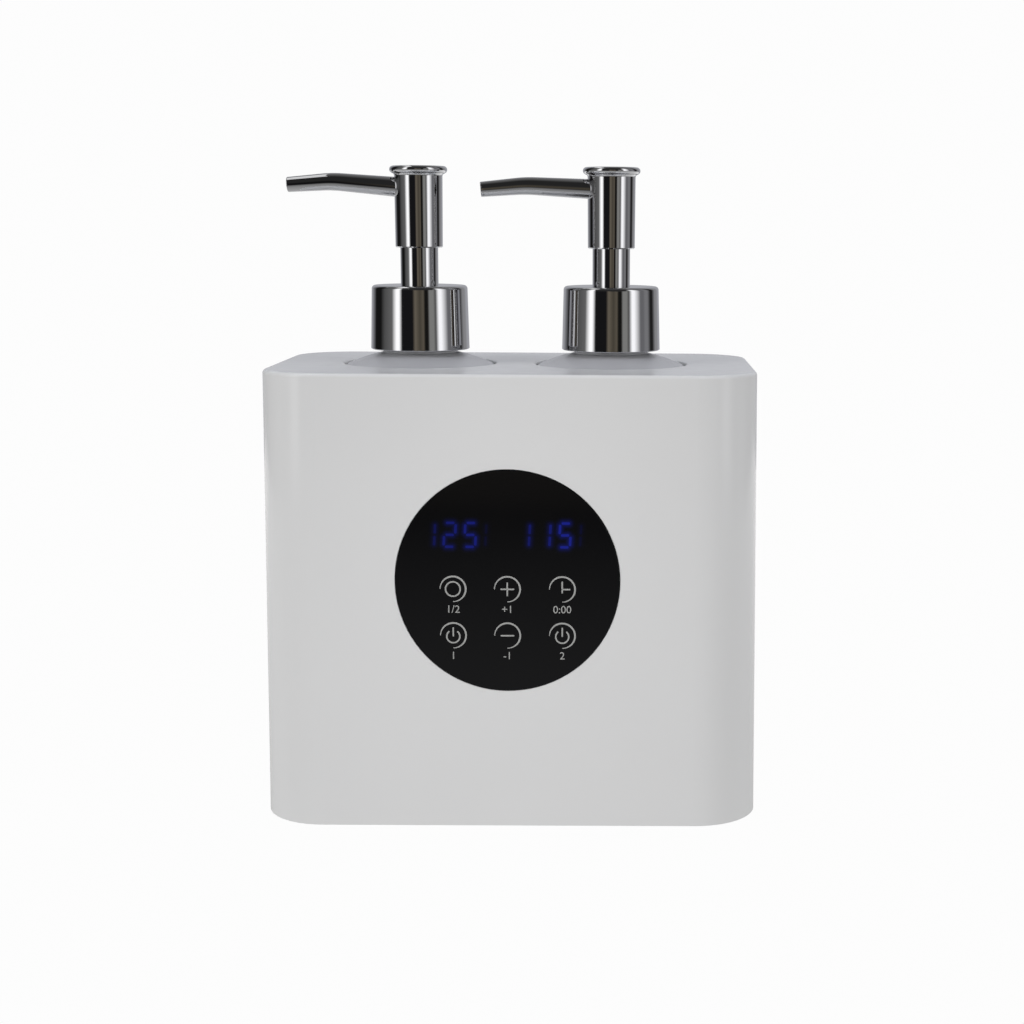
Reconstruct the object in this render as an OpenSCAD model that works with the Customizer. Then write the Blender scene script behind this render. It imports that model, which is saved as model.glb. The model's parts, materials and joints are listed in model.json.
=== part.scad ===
// Twin lotion warmer: a drafted housing with two heated wells, a round touch panel on the front
// and two lift-out bottles, each closed by a pressed and swivelling lotion pump.
// Millimetres, +Z up, front towards -Y, origin on the table under the middle of the housing.

/* [Housing] */
// Width of the housing at its lower edge
body_w = 163; // [156:1:180]
// Depth of the housing at its lower edge
body_d = 97; // [94:1:110]
// Height of the top face above the table
body_h = 149.5; // [140:0.5:160]
// Radius of the upright corners at the lower edge
corner_r = 21; // [16:1:26]
// Draft of the walls, which narrow upwards, in degrees
draft = 0.5; // [0.2:0.1:1]
// Radius of the top edge
top_fillet = 1.25; // [0.75:0.25:2]
// Thickness of the side walls
wall = 2.6; // [2.2:0.1:3]
// Thickness of the top wall
top_wall = 3; // [2.4:0.2:4]
// Radius round the mouth of each well
mouth_round = 0.8; // [0.4:0.1:1.2]

/* [Base] */
// Height of the housing's lower edge above the table
foot_h = 2; // [1:0.25:4]
// Diameter of a rubber foot
foot_d = 14; // [10:1:18]
// Depth of the recess that holds a foot
foot_recess = 1.2; // [0.8:0.1:1.6]
// Thickness of the base plate
base_t = 2.6; // [2.2:0.1:3.4]
// Play between the base plate and the housing
base_fit = 0.3; // [0.2:0.05:0.6]
// Height of the locating rim on the base plate
rim_h = 4; // [2:0.5:6]
// Thread diameter of the case screws
case_screw = 3; // [2.5:0.1:3.5]
// Length of a case screw under its head
case_screw_len = 10; // [8:1:14]
// Length of a screw boss inside a corner of the housing
boss_len = 26; // [16:1:40]

/* [Wells] */
// Wall of a heating well
well_wall = 1; // [0.8:0.1:1.5]
// Thickness of a heating well's floor
well_floor = 1.2; // [1:0.1:2]
// Width of the flange that hangs under the top wall
well_flange = 2.4; // [1.5:0.1:3]
// Thickness of the silicone heater band
heater_t = 1.5; // [1:0.1:2]
// Height of the heater band
heater_h = 80; // [60:1:90]
// Height of the heater band's lower edge above the well floor
heater_low = 20; // [15:1:25]
// Thickness of the insulation sleeve
insulation_t = 3.6; // [3:0.1:4.5]
// Gap between the two insulation sleeves
sleeve_gap = 1; // [0.6:0.1:3]
// Opening left in the band and the sleeve for the leads, in degrees
seam_angle = 28; // [26:1:34]
// Room under the well carrier for the power board
carrier_room = 13.7; // [13.5:0.1:18]
// Thickness of the well carrier
carrier_t = 2.5; // [2:0.1:3]
// Height of the carrier's ring round a well
carrier_ring_h = 5; // [3:0.5:8]
// Diameter of a lead
lead_d = 1.8; // [1.4:0.1:2]

/* [Bottles] */
// Diameter of a bottle
bottle_d = 50; // [47:0.5:52]
// Wall of a bottle
bottle_wall = 1.2; // [0.9:0.1:1.6]
// Play between a bottle and its well
bottle_gap = 0.6; // [0.4:0.1:1]
// Radius of the domed shoulder
dome_r = 58.4; // [52:0.4:66]
// Radius where the shoulder turns into the side
shoulder_edge = 1.25; // [0.75:0.25:2]
// Radius of the bottle's lower edge
bottle_edge = 3; // [2:0.25:4]
// Height above the top face at which the neck leaves the shoulder
shoulder_rise = 3.65; // [3:0.05:4.5]
// Outer diameter of the neck under its thread
neck_d = 25; // [24.6:0.1:25.4]
// Bore of the neck
neck_bore = 21.2; // [20:0.1:21.6]

/* [Pumps] */
// Diameter of the collar at its lower edge
collar_d = 33.2; // [32.8:0.1:36]
// Diameter of the collar at its top
collar_top_d = 32.1; // [31.8:0.1:34]
// Height of the collar
collar_h = 21.4; // [20:0.1:24]
// Gap between the collar and the bottle's shoulder
shoulder_gap = 1.7; // [1:0.1:2.4]
// Radius of the collar's top edge
collar_fillet = 1.2; // [0.6:0.1:2]
// Radius of the collar's lower edge
collar_low_edge = 0.4; // [0.2:0.1:0.6]
// Thickness of the collar's top
collar_top_t = 0.8; // [0.6:0.1:1.2]
// Inner diameter of the collar
collar_bore = 30.6; // [30.4:0.1:31]
// Inner diameter of the threaded closure
closure_bore = 27.8; // [27.6:0.1:28.4]
// Thickness of the closure's top
closure_top_t = 1.2; // [1:0.1:1.6]
// Outer diameter of the guide tube
guide_d = 12.65; // [12.2:0.05:12.9]
// Wall of the guide tube
guide_wall = 0.9; // [0.7:0.05:1.1]
// Length of guide tube that shows at rest
guide_show = 12.5; // [12.4:0.1:16]
// Length of guide tube inside the head at rest
guide_lap = 3; // [2:0.25:4]
// Travel of the pump head
stroke = 12; // [9:0.25:12]
// Height of the pump head
head_h = 27; // [26:0.25:32]
// Diameter of the head at its top
barrel_d = 16.1; // [15.8:0.1:17]
// Diameter of the head at its lower edge
barrel_low_d = 15.8; // [15.6:0.1:16.6]
// Diameter of the flange on the head
flange_d = 19.3; // [18.4:0.1:21]
// Thickness of the flange on the head
flange_t = 2.4; // [1.8:0.1:2.8]
// Radius under the flange
flange_fillet = 0.9; // [0.5:0.1:1.2]
// Diameter of the pump stem
stem_d = 6; // [5.6:0.1:6.2]
// Bore of the pump stem
stem_bore = 3.4; // [2.8:0.1:3.6]
// Bore of the pump cylinder
cylinder_bore = 12; // [11.4:0.1:12.2]
// Wall of the pump cylinder
cylinder_wall = 1.2; // [0.9:0.1:1.5]
// Thickness of the cylinder's flange
cylinder_flange_t = 1.2; // [1:0.1:1.6]
// Thickness of the neck gasket
gasket_t = 1; // [0.8:0.1:1.4]
// Height of the piston
piston_h = 9; // [7:0.25:10]
// Outer diameter of the return spring
spring_d = 8.6; // [8:0.1:9]
// Wire diameter of the return spring
spring_wire = 0.8; // [0.6:0.05:0.9]
// Turns of the return spring
spring_turns = 5; // [4:0.5:6]
// Diameter of the check ball
ball_d = 4; // [3.6:0.1:4.4]
// Travel of the check ball
ball_travel = 1.5; // [1:0.1:2]
// Outer diameter of the dip tube
dip_d = 6; // [5.4:0.1:6.4]
// Bore of the dip tube
dip_bore = 4; // [3.2:0.1:4.4]
// Gap between the dip tube and the bottle's floor
dip_gap = 4; // [2:0.5:8]

/* [Nozzles] */
// Reach of the nozzle tip from the pump's axis
nozzle_reach = 44.8; // [40:0.2:46]
// Distance of the bend from the pump's axis
nozzle_bend = 28.8; // [24:0.2:32]
// Depth of the nozzle's root under the top of the head
nozzle_drop = 7.2; // [6.6:0.1:7.6]
// Height that the nozzle gains from its root to the bend
nozzle_rise = 1.65; // [0.5:0.05:3]
// Height that the nozzle loses from the bend to the tip
nozzle_dip = 1.3; // [0.5:0.1:4]
// Diameter of the nozzle at its root
nozzle_root_d = 6.9; // [6.4:0.1:7.2]
// Diameter of the nozzle at the bend
nozzle_bend_d = 6.2; // [5.6:0.1:6.6]
// Diameter of the nozzle at the tip
nozzle_tip_d = 5.5; // [5:0.1:6]
// Bore of the nozzle
nozzle_bore = 3.2; // [2.4:0.1:3.4]
// Turn of the left nozzle from straight left, in degrees
left_turn = 0; // [-20:1:20]
// Turn of the right nozzle from straight left, in degrees
right_turn = 5; // [-20:1:20]

/* [Control panel] */
// Diameter of the panel lens
panel_d = 72; // [68:0.5:76]
// Height of the panel's centre above the table
panel_z = 83.4; // [78:0.2:90]
// Thickness of the panel lens
lens_t = 1.4; // [1:0.1:1.6]
// Height by which the lens stands proud of the wall
lens_proud = 0.2; // [0:0.05:0.3]
// Play round the edge of the lens
lens_fit = 0.15; // [0.1:0.05:0.3]
// Thickness of the adhesive ring
adhesive_t = 0.2; // [0.1:0.05:0.3]
// Width of the ledge that carries the lens
ledge_w = 2.15; // [1.6:0.05:2.4]
// Width of the control board
board_w = 68; // [66:0.5:72]
// Height of the control board
board_h = 64; // [62:0.5:68]
// Thickness of the circuit boards
board_t = 1.6; // [1:0.1:2]
// Distance of the board's fixing holes from its edges
board_inset = 4.5; // [4:0.25:5]
// Thread diameter of the board screws
board_screw = 2.5; // [2:0.1:3]
// Thickness of a display
display_t = 7; // [6:0.25:9]
// Width of a display
display_w = 20; // [18:0.25:20.5]
// Height of a display
display_h = 11; // [10:0.25:11.5]
// Height of the displays above the panel's centre
display_up = 15.2; // [14:0.1:15.5]
// Distance of a display from the panel's middle line
display_out = 15; // [12:0.1:15.5]
// Spacing of the touch keys across the panel
key_pitch = 17.5; // [15:0.25:18]
// Distance of the upper row of keys below the panel's centre
key_row_1 = 2.4; // [1.5:0.1:3.5]
// Distance of the lower row of keys below the panel's centre
key_row_2 = 17.6; // [15:0.1:18.5]
// Diameter of the pad on a touch spring
key_pad_d = 8.4; // [7:0.2:9]

/* [Power] */
// Width of the power board
power_w = 54; // [50:1:58]
// Depth of the power board
power_d = 31; // [30:1:33]
// Height of the posts under the power board
post_h = 4; // [3.5:0.1:4.5]
// Width of the power inlet
inlet_w = 9; // [8.5:0.1:10]
// Height of the power inlet
inlet_h = 11; // [10.5:0.1:11.5]
// Length of the power inlet's body
inlet_len = 12; // [11:0.25:13]
// Diameter of the power inlet's round nose
inlet_nose_d = 8.4; // [8.2:0.1:8.6]
// Bore of the power inlet
inlet_bore = 6.3; // [6:0.05:6.5]
// Diameter of the power inlet's centre pin
inlet_pin = 2.1; // [2:0.05:2.5]
// Width of the ribbon cable
ribbon_w = 8; // [6:0.5:9]
// Thickness of the ribbon cable
ribbon_t = 0.8; // [0.6:0.1:1]

/* [Hidden] */
$fn = 72;

// Colours
housing_white = [0.90, 0.90, 0.90];
bottle_white = [0.94, 0.94, 0.94];
chrome = [0.78, 0.78, 0.80];
panel_black = [0.03, 0.03, 0.04];
rubber_black = [0.10, 0.10, 0.10];
steel = [0.62, 0.63, 0.65];
aluminium = [0.80, 0.81, 0.83];
silicone_orange = [0.80, 0.38, 0.12];
felt_grey = [0.72, 0.72, 0.70];
board_green = [0.10, 0.36, 0.18];
part_black = [0.12, 0.12, 0.13];
natural_plastic = [0.86, 0.88, 0.88];
lead_red = [0.72, 0.12, 0.10];

// Small clearances and cutting allowances
snug = 0.05;
running = 0.08;
seat_gap = 0.1;
easy = 0.3;
end_room = 0.4;
cut = 1;

// Levels of the base and the wells
base_z = foot_h;
base_top = base_z + base_t;
carrier_z = base_top + carrier_room;
carrier_top = carrier_z + carrier_t;
floor_z = carrier_top + well_floor;
ceiling_z = body_h - top_wall;
ring_top = carrier_top + carrier_ring_h;

// Radii of the layers round a bottle, and the place of the pumps
bottle_r = bottle_d / 2;
well_r = bottle_r + bottle_gap;
well_outer = well_r + well_wall;
heater_r = well_outer + snug;
heater_outer = heater_r + heater_t;
sleeve_r = heater_outer + 2 * snug;
sleeve_outer = sleeve_r + insulation_t;
pump_x = sleeve_outer + sleeve_gap / 2;
ring_inner = well_outer + easy;
ring_wall = 2.4;
heater_z = floor_z + heater_low;

// Base plate, feet and case screws
plate_w = body_w - 2 * (wall + base_fit);
plate_d = body_d - 2 * (wall + base_fit);
plate_r = corner_r - wall - base_fit;
rim_wall = 1.6;
rim_inset = 1;
boss_r = 5.4;
boss_bite = 0.8;
boss_reach = (corner_r - wall - boss_r + boss_bite) * cos(45);
boss_x = body_w / 2 - corner_r + boss_reach;
boss_y = body_d / 2 - corner_r + boss_reach;
screw_head_d = case_screw * 1.9;
screw_head_h = case_screw * 0.7;
cup_floor = 2;
cup_sunk = 2;
cup_h = screw_head_h + cup_floor + cup_sunk;
boss_z = base_z + cup_h;
head_seat_z = boss_z - cup_floor;
foot_margin = 4;
foot_x = boss_x - boss_r - foot_d / 2 - foot_margin;
foot_y = plate_d / 2 - foot_d / 2 - foot_margin;
foot_edge = 0.8;

// Legs of the well carrier, standing on pins of the base plate
leg_r = 4;
leg_pin_r = 2.4;
leg_pin_h = 4;
leg_places = [[pump_x, -23], [pump_x + 21, 12], [pump_x - 12, -19]];
thermostat_r = 8;
thermostat_h = 5;
thermostat_tab = 4;
thermostat_room = 1.5;

// Leads, in the opening at the rear of each well
lead_r = lead_d / 2;
lead_off = 1.4;
lead_y = well_outer + snug + lead_off;
lead_bend = 5;
lead_run = 2.5;
lead_gap = 3;
heater_lead_x = -2.4;
sensor_lead_x = 2.2;
lead_block_h = 8;
lead_block_z = heater_z + 12;
sensor_h = 9;
sensor_w = 3.4;
sensor_z = heater_z + 26;

// Power board behind the wells, on posts of the base plate
power_z = base_top + post_h;
power_top = power_z + board_t;
power_room = 2.2;
power_back = body_d / 2 - wall - power_room;
power_front = power_back - power_d;
post_inset = 3.5;
post_r = 3;
terminal_w = 6;
terminal_d = 9;
terminal_h = 8;
terminal_x = pump_x + heater_lead_x - lead_bend - lead_run - terminal_w;
inlet_z = power_top + inlet_h / 2;
inlet_sunk = 0.15;
inlet_face = -front_y(inlet_z) - inlet_sunk;
inlet_back = power_back - inlet_len;

// Stack of the front panel, measured inwards from the face of the front wall
lens_back = lens_t - lens_proud;
recess_depth = lens_back + adhesive_t;
panel_r = panel_d / 2;
recess_r = panel_r + lens_fit;
aperture_r = panel_r - ledge_w;
lens_edge = 0.3;
board_corner = 2;
part_edge = 0.8;
display_front = lens_back + easy;
board_front = display_front + display_t;
board_back = board_front + board_t;
board_boss_r = 3.2;
board_hole_x = board_w / 2 - board_inset;
board_hole_y = board_h / 2 - board_inset;
board_screw_len = 7;
connector_up = -board_h / 2 + 8;
connector_t = 4;
connector_w = 10;
connector_h = 5;

// Shoulder and pushed-up base of a bottle
dome_z = body_h + shoulder_rise - sqrt(dome_r * dome_r - neck_d * neck_d / 4);
base_dent = 1.2;
base_dent_r = bottle_r - 2 * bottle_edge;
bottle_inner_z = floor_z + base_dent + bottle_wall;

// Levels of a pump, from the collar up
guide_flange_r = 10;
guide_flange_t = 1;
collar_z = dome_height(collar_bore / 2) + shoulder_gap;
collar_top = collar_z + collar_h;
guide_z = collar_top - collar_top_t - guide_flange_t;
closure_under = guide_z - closure_top_t;
gasket_top = closure_under - cylinder_flange_t;
neck_top = gasket_top - gasket_t;
barrel_z = collar_top + guide_show;
guide_top = barrel_z + guide_lap;
head_top = barrel_z + head_h;
head_bore_top = guide_top + stroke + end_room;
stem_grip = 4;
stem_top = head_bore_top + stem_grip;
nozzle_z = head_top - nozzle_drop;
guide_r = guide_d / 2;
guide_inner = guide_r - guide_wall;
bush_h = 5;
spigot_r = nozzle_root_d / 2 - 0.5;

// Levels of a pump, from the piston down
piston_top = guide_z - end_room;
piston_z = piston_top - piston_h;
foot_plate_t = 1.2;
stem_z = piston_z - seat_gap - foot_plate_t;
spring_solid = (spring_turns + 1) * spring_wire;
spring_reserve = 0.6;
chamber_floor = stem_z - stroke - spring_solid - spring_reserve;
lip_t = 1;
ball_r = ball_d / 2;
seat_r = ball_r * 0.65;
ball_rest = sqrt(ball_r * ball_r - seat_r * seat_r) + seat_gap;
valve_h = ball_rest + ball_r + ball_travel + 2 * seat_gap;
valve_floor = chamber_floor - lip_t - valve_h;
seat_t = 1.2;
socket_top = valve_floor - seat_t;
socket_len = 8;
socket_z = socket_top - socket_len;
cylinder_r = cylinder_bore / 2;
cylinder_outer = cylinder_r + cylinder_wall;
socket_wall = 1.4;
socket_outer = dip_d / 2 + socket_wall;
cylinder_flange_r = neck_d / 2 - seat_gap;

// Points along the return spring, and the least gap between its turns
rings_per_turn = 8;
spring_rings = spring_turns * rings_per_turn;
spring_r = (spring_d - spring_wire) / 2;
spring_low = chamber_floor + seat_gap + spring_wire / 2;
spring_high = stem_z - seat_gap - spring_wire / 2;
spring_path = [for (i = [0 : spring_rings]) coil_point(i)];
spring_gap = min([
    for (i = [0 : spring_rings - rings_per_turn / 2], j = [i + rings_per_turn / 2 : spring_rings])
        norm(spring_path[i] - spring_path[j])
]) - spring_wire;
echo("least gap between turns of the return spring, mm", spring_gap);

function coil_angle(i) = 360 * i / rings_per_turn;
function coil_point(i) = [
    spring_r * cos(coil_angle(i)),
    spring_r * sin(coil_angle(i)),
    spring_low + (spring_high - spring_low) * i / spring_rings
];

// Height of a bottle's domed shoulder at a distance from its axis
function dome_height(r) = dome_z + sqrt(dome_r * dome_r - r * r);

// Distance of the front face from the middle at a height
function front_y(z) = -body_d / 2 + (z - base_z) * tan(draft);

// Half section of a body whose side leans inwards and ends in a rounded top edge
module leaning_profile(half, height, lean, fillet) {
    arc_x = half - (height - fillet) * tan(lean) - fillet / cos(lean);
    arc_z = height - fillet;
    polygon([
        [0, 0], [half, 0],
        [arc_x + fillet * cos(lean), arc_z + fillet * sin(lean)],
        [arc_x, arc_z], [arc_x, height], [0, height]
    ]);
    translate([arc_x, arc_z]) circle(fillet);
}

// Both halves of that section
module full_profile(half, height, lean, fillet) {
    for (side = [0, 1]) mirror([side, 0]) leaning_profile(half, height, lean, fillet);
}

// Box with leaning sides, round upright corners and a rounded top edge
module drafted_block(w, d, height, r, fillet) {
    for (mx = [0, 1], my = [0, 1])
        mirror([mx, 0, 0]) mirror([0, my, 0])
            translate([w / 2 - r, d / 2 - r])
                rotate_extrude(angle = 90) leaning_profile(r, height, draft, fillet);
    rotate([90, 0, 90])
        linear_extrude(w - 2 * r, center = true) full_profile(d / 2, height, draft, fillet);
    rotate([90, 0, 0])
        linear_extrude(d - 2 * r, center = true) full_profile(w / 2, height, draft, fillet);
}

// Outline of a rectangle with round corners
module rounded_outline(w, d, r) {
    square([w - 2 * r, d], center = true);
    square([w, d - 2 * r], center = true);
    for (x = [-1, 1], y = [-1, 1]) translate([x * (w / 2 - r), y * (d / 2 - r)]) circle(r);
}

// Ring between two radii and two levels
module ring(inner, outer, low, high) {
    translate([0, 0, low]) difference() {
        cylinder(h = high - low, r = outer);
        translate([0, 0, -cut]) cylinder(h = high - low + 2 * cut, r = inner);
    }
}

// Round tube along a path that never runs parallel to the given axis
module swept_tube(path, r, axis, sides) {
    last = len(path) - 1;
    points = [
        for (i = [0 : last])
            let (
                step = path[min(i + 1, last)] - path[max(i - 1, 0)],
                across = cross(step, axis) / norm(cross(step, axis)),
                up = cross(across, step) / norm(step)
            )
            for (k = [0 : sides - 1])
                path[i] + r * (cos(360 * k / sides) * across + sin(360 * k / sides) * up)
    ];
    walls = [
        for (i = [0 : last - 1], k = [0 : sides - 1])
            let (next = (k + 1) % sides, low = i * sides, high = low + sides)
            each [[low + k, low + next, high + k], [low + next, high + next, high + k]]
    ];
    ends = [
        for (k = [1 : sides - 2]) each [[0, k + 1, k], [last * sides, last * sides + k, last * sides + k + 1]]
    ];
    polyhedron(points, concat(walls, ends));
}

// Disc with a rounded upper edge
module rounded_disc(r, height, fillet) {
    rotate_extrude() leaning_profile(r, height, 0, fillet);
}

// Round rod that tapers from one point to another
module taper_between(a, b, r1, r2) {
    step = b - a;
    translate(a)
        rotate([0, acos(step[2] / norm(step)), atan2(step[1], step[0])])
            cylinder(h = norm(step), r1 = r1, r2 = r2);
}

// Places, one per corner, per carrier leg and per pump
module at_corners(x, y) {
    for (sx = [-1, 1], sy = [-1, 1]) translate([sx * x, sy * y, 0]) children();
}

module at_legs() {
    for (side = [-1, 1], place = leg_places) translate([side * place[0], place[1], 0]) children();
}

module at_pump(side) {
    translate([side * pump_x, 0, 0]) children();
}

// Frame of a well: +X points away from the middle of the housing on both sides
module at_well(side) {
    mirror([side < 0 ? 1 : 0, 0, 0]) translate([pump_x, 0, 0]) children();
}

// Frame of the panel: centre on the face of the front wall, +Z outwards, +Y up the wall
module on_front() {
    translate([0, front_y(panel_z), panel_z]) rotate([90 - draft, 0, 0]) children();
}

module at_keys() {
    for (column = [-1 : 1], row = [key_row_1, key_row_2])
        translate([column * key_pitch, -row, 0]) children();
}

module housing_shell() {
    inner_h = ceiling_z - base_z;
    inner_fillet = 1;
    color(housing_white) difference() {
        union() {
            difference() {
                translate([0, 0, base_z])
                    drafted_block(body_w, body_d, body_h - base_z, corner_r, top_fillet);
                translate([0, 0, base_z - cut])
                    drafted_block(
                        body_w - 2 * wall, body_d - 2 * wall,
                        inner_h + cut, corner_r - wall, inner_fillet
                    );
            }
            translate([0, 0, boss_z]) at_corners(boss_x, boss_y) cylinder(h = boss_len, r = boss_r);
            on_front() at_corners(board_hole_x, board_hole_y)
                translate([0, 0, -board_front]) cylinder(h = board_front - wall / 2, r = board_boss_r);
        }
        for (side = [-1, 1]) at_pump(side) {
            translate([0, 0, ceiling_z - cut]) cylinder(h = top_wall + 2 * cut, r = well_r);
            translate([0, 0, body_h - mouth_round]) rotate_extrude() difference() {
                square([well_r + mouth_round, mouth_round + cut]);
                translate([well_r + mouth_round, 0]) circle(mouth_round);
            }
        }
        on_front() {
            translate([0, 0, -recess_depth]) cylinder(h = recess_depth + cut, r = recess_r);
            translate([0, 0, -2 * wall]) cylinder(h = 2 * wall, r = aperture_r);
            at_corners(board_hole_x, board_hole_y)
                translate([0, 0, -board_front - cut])
                    cylinder(h = board_screw_len - board_t + cut, r = board_screw / 2 + snug);
        }
        translate([0, 0, boss_z - cut]) at_corners(boss_x, boss_y)
            cylinder(h = case_screw_len + 2 * cut, r = case_screw / 2 + snug);
        translate([0, power_back, inlet_z]) rotate([-90, 0, 0])
            cylinder(h = 4 * wall, r = inlet_nose_d / 2 + easy);
    }
}

module base_plate() {
    color(housing_white) difference() {
        union() {
            translate([0, 0, base_z]) linear_extrude(base_t) rounded_outline(plate_w, plate_d, plate_r);
            translate([0, 0, base_z]) linear_extrude(base_t + rim_h) difference() {
                rounded_outline(plate_w - 2 * rim_inset, plate_d - 2 * rim_inset, plate_r - rim_inset);
                rounded_outline(
                    plate_w - 2 * rim_inset - 2 * rim_wall,
                    plate_d - 2 * rim_inset - 2 * rim_wall,
                    plate_r - rim_inset - rim_wall
                );
            }
            translate([0, 0, base_z]) linear_extrude(cup_h) intersection() {
                at_corners(boss_x, boss_y) circle(boss_r);
                rounded_outline(plate_w, plate_d, plate_r);
            }
            translate([0, 0, base_z]) at_legs() cylinder(h = base_t + leg_pin_h, r = leg_pin_r);
            power_posts(base_z, power_z, post_r);
        }
        at_corners(boss_x, boss_y) {
            translate([0, 0, base_z - cut])
                cylinder(h = head_seat_z - base_z + cut, r = screw_head_d / 2 + easy);
            translate([0, 0, base_z]) cylinder(h = cup_h + cut, r = case_screw / 2 + easy);
        }
        translate([0, 0, boss_z]) at_corners(boss_x, boss_y) cylinder(h = rim_h, r = boss_r + easy);
        translate([0, 0, base_z - cut]) at_corners(foot_x, foot_y)
            cylinder(h = foot_recess + cut, r = foot_d / 2 + easy);
        power_posts(power_z - board_screw_len + board_t, power_z + cut, board_screw / 2 + snug);
        translate([-inlet_w / 2 - easy, power_back - inlet_len, base_top])
            cube([inlet_w + 2 * easy, plate_d, rim_h + cut]);
    }
}

// Posts, or the holes in them, under the corners of the power board
module power_posts(low, high, r) {
    translate([0, (power_front + power_back) / 2, low])
        at_corners(power_w / 2 - post_inset, power_d / 2 - post_inset) cylinder(h = high - low, r = r);
}

module rubber_feet() {
    color(rubber_black) at_corners(foot_x, foot_y)
        translate([0, 0, foot_h + foot_recess]) mirror([0, 0, 1])
            rounded_disc(foot_d / 2, foot_h + foot_recess, foot_edge);
}

// Pan-head screw with a cross recess, head down, seat of the head at the origin
module pan_screw(d, length, head_d, head_h) {
    slot_w = d * 0.28;
    slot_l = head_d * 0.6;
    slot_depth = head_h * 0.55;
    cylinder(h = length, r = d / 2);
    mirror([0, 0, 1]) difference() {
        rounded_disc(head_d / 2, head_h, head_h * 0.45);
        for (turn = [0, 90]) rotate(turn)
            translate([-slot_l / 2, -slot_w / 2, head_h - slot_depth]) cube([slot_l, slot_w, head_h]);
    }
}

module base_screws() {
    color(steel) translate([0, 0, head_seat_z]) at_corners(boss_x, boss_y)
        pan_screw(case_screw, case_screw_len, screw_head_d, screw_head_h);
}

module well_carrier() {
    carrier_r = sleeve_outer - easy;
    notch_half = 4.6;
    color(part_black) difference() {
        union() {
            translate([0, 0, carrier_z]) linear_extrude(carrier_t) {
                square([2 * pump_x, carrier_r], center = true);
                for (side = [-1, 1]) translate([side * pump_x, 0]) circle(carrier_r);
            }
            for (side = [-1, 1]) at_pump(side) ring(ring_inner, ring_inner + ring_wall, carrier_z, ring_top);
            translate([0, 0, base_top]) at_legs() cylinder(h = carrier_room + carrier_t / 2, r = leg_r);
        }
        translate([0, 0, base_top - cut]) at_legs()
            cylinder(h = leg_pin_h + easy + cut, r = leg_pin_r + snug);
        for (side = [-1, 1]) at_well(side) {
            translate([0, 0, carrier_z - cut])
                cylinder(h = carrier_t + 2 * cut, r = thermostat_r + thermostat_room);
            translate([-notch_half, well_outer, carrier_z - cut])
                cube([2 * notch_half, sleeve_outer, carrier_t + carrier_ring_h + 2 * cut]);
        }
    }
}

module heating_well(side) {
    hanger_z = ceiling_z - 1.2;
    color(aluminium) at_well(side) rotate_extrude() polygon([
        [0, carrier_top], [well_outer, carrier_top],
        [well_outer, hanger_z], [well_outer + well_flange, hanger_z],
        [well_outer + well_flange, ceiling_z], [well_r, ceiling_z],
        [well_r, floor_z], [0, floor_z]
    ]);
}

// Wrap round a well, open at the rear over the seam angle
module open_wrap(inner, outer, low, high) {
    rotate(90 + seam_angle / 2)
        rotate_extrude(angle = 360 - seam_angle)
            translate([inner, low]) square([outer - inner, high - low]);
}

// Heater band with the moulded block from which its lead comes out
module heater_band(side) {
    block_bite = 1;
    block_edge = 0.4;
    block_x = -heater_outer * sin(seam_angle / 2) - block_bite;
    color(silicone_orange) at_well(side) {
        open_wrap(heater_r, heater_outer, heater_z, heater_z + heater_h);
        translate([0, 0, lead_block_z]) difference() {
            translate([block_x, heater_r * cos(seam_angle / 2), 0])
                cube([heater_lead_x + lead_r + block_edge - block_x, 2 * heater_t, lead_block_h]);
            translate([0, 0, -cut]) cylinder(h = lead_block_h + 2 * cut, r = heater_r);
            translate([0, 0, -cut]) ring(sleeve_r - snug, 2 * sleeve_r, 0, lead_block_h + 2 * cut);
        }
    }
}

module insulation(side) {
    top_room = 2;
    color(felt_grey) at_well(side) open_wrap(sleeve_r, sleeve_outer, ring_top, ceiling_z - top_room);
}

// Round bimetal cut-out under the floor of a well, with two terminal tabs
module thermostat(side) {
    tab = [0.8, 4.4, thermostat_tab];
    color(part_black) at_well(side) translate([0, 0, carrier_top]) mirror([0, 0, 1]) {
        rounded_disc(thermostat_r, thermostat_h, part_edge);
        for (x = [-1, 1])
            translate([x * thermostat_r / 2 - tab[0] / 2, -tab[1] / 2, thermostat_h - easy]) cube(tab);
    }
}

// Temperature sensor that lies against a well in the opening of its wraps
module thermistor(side) {
    color(part_black) at_well(side)
        translate([sensor_lead_x, well_outer + snug, sensor_z])
            linear_extrude(sensor_h) {
                translate([-sensor_w / 2, 0]) square([sensor_w, sensor_w / 2]);
                translate([0, sensor_w / 2]) circle(sensor_w / 2);
            }
}

// Lead that runs down at one place, bends towards the middle and ends at the terminal
module lead(x, top, level) {
    steps = 6;
    end_x = terminal_x + terminal_w - pump_x;
    bend_points = [
        for (i = [0 : steps])
            let (a = 90 * i / steps)
            [x - lead_bend + lead_bend * cos(a), lead_y, level + lead_bend - lead_bend * sin(a)]
    ];
    swept_tube(concat([[x, lead_y, top]], bend_points, [[end_x, lead_y, level]]), lead_r, [0, 1, 0], 8);
}

module leads(side) {
    level = power_top + lead_d;
    color(lead_red) at_well(side) {
        lead(heater_lead_x, lead_block_z, level + lead_gap);
        lead(sensor_lead_x, sensor_z, level);
    }
}

module control_panel() {
    color(panel_black) on_front() translate([0, 0, -lens_back]) rounded_disc(panel_r, lens_t, lens_edge);
}

module panel_adhesive() {
    color(part_black) on_front() ring(aperture_r + easy, panel_r - easy, -recess_depth, -lens_back);
}

module control_board() {
    color(board_green) on_front() translate([0, 0, -board_back]) linear_extrude(board_t) difference() {
        rounded_outline(board_w, board_h, board_corner);
        at_corners(board_hole_x, board_hole_y) circle(board_screw / 2 + easy / 2);
    }
}

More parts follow.
